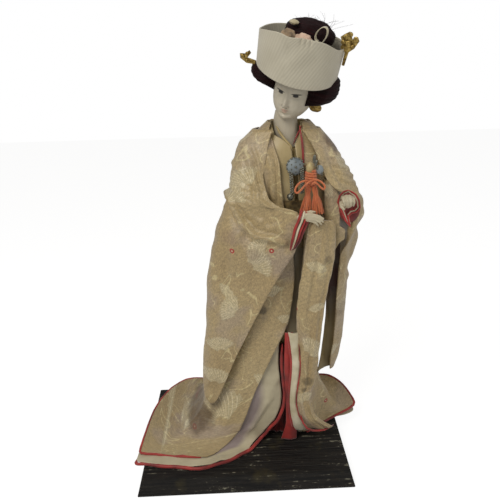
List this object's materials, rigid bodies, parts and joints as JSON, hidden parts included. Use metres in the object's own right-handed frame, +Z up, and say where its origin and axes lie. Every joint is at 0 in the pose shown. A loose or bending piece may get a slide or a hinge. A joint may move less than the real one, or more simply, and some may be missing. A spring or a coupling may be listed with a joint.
{
  "type": "bride doll on stand",
  "caption": "Standing bride doll with a pale hood, trailing brocade robe over a satin under-kimono, chest ornaments and orange tassels, on a black wooden board.",
  "frame": {"origin": "centre of the board's underside", "axes": "+Z up, the doll faces -Y, +X to the doll's left"},
  "size_m": [0.2604, 0.1774, 0.4692],
  "materials": {
    "black_wood": "black stained, open grain",
    "straw": "bound straw",
    "face_white": "ivory white, satin",
    "hair_dark": "dark silk thread",
    "hood_crepe": "ribbed ivory silk",
    "brocade": "beige and pale gold brocade",
    "kimono_satin": "grey lilac satin",
    "red_silk": "red silk",
    "obi_gold": "dull gold weave",
    "gold_metal": "dull gilt",
    "silver_metal": "tarnished silver",
    "pouch_blue": "grey blue silk",
    "orange_cord": "orange silk cord"
  },
  "bodies": {
    "root": {"base_board": "black_wood", "straw_body": "straw", "red_underskirt": "red_silk", "under_kimono": "kimono_satin", "obi": "obi_gold", "brocade_robe": "brocade", "head": "face_white", "hair_sides": "hair_dark", "hair_crown": "hair_dark", "hair_topknot": "hair_dark", "hood_band": "hood_crepe", "hair_ribbon_loop": "hood_crepe", "hair_ribbon_knot": "hood_crepe", "pink_lining_cloth": "hood_crepe", "gold_flower_pin": "gold_metal", "gold_curl_pin": "gold_metal", "gold_comb": "gold_metal", "robe_left_front": "brocade", "robe_left_chest": "brocade", "right_sleeve": "brocade", "left_sleeve": "brocade", "left_sleeve_lining": "red_silk", "right_cuff_lining": "red_silk", "left_cuff_edge": "red_silk", "right_hand": "face_white", "left_hand": "face_white", "robe_hem_roll": "red_silk", "under_hem_roll": "red_silk", "under_edge_roll": "red_silk", "red_collar": "red_silk", "pouch_disc": "pouch_blue", "chain_left": "silver_metal", "chain_right": "silver_metal", "chain_bead": "silver_metal", "silk_sheath": "hood_crepe", "blue_drop": "pouch_blue", "sheath_binding": "orange_cord", "bow_loop_left": "orange_cord", "bow_loop_right": "orange_cord", "tassel_left": "orange_cord", "tassel_right": "orange_cord"}
  },
  "joints": []
}
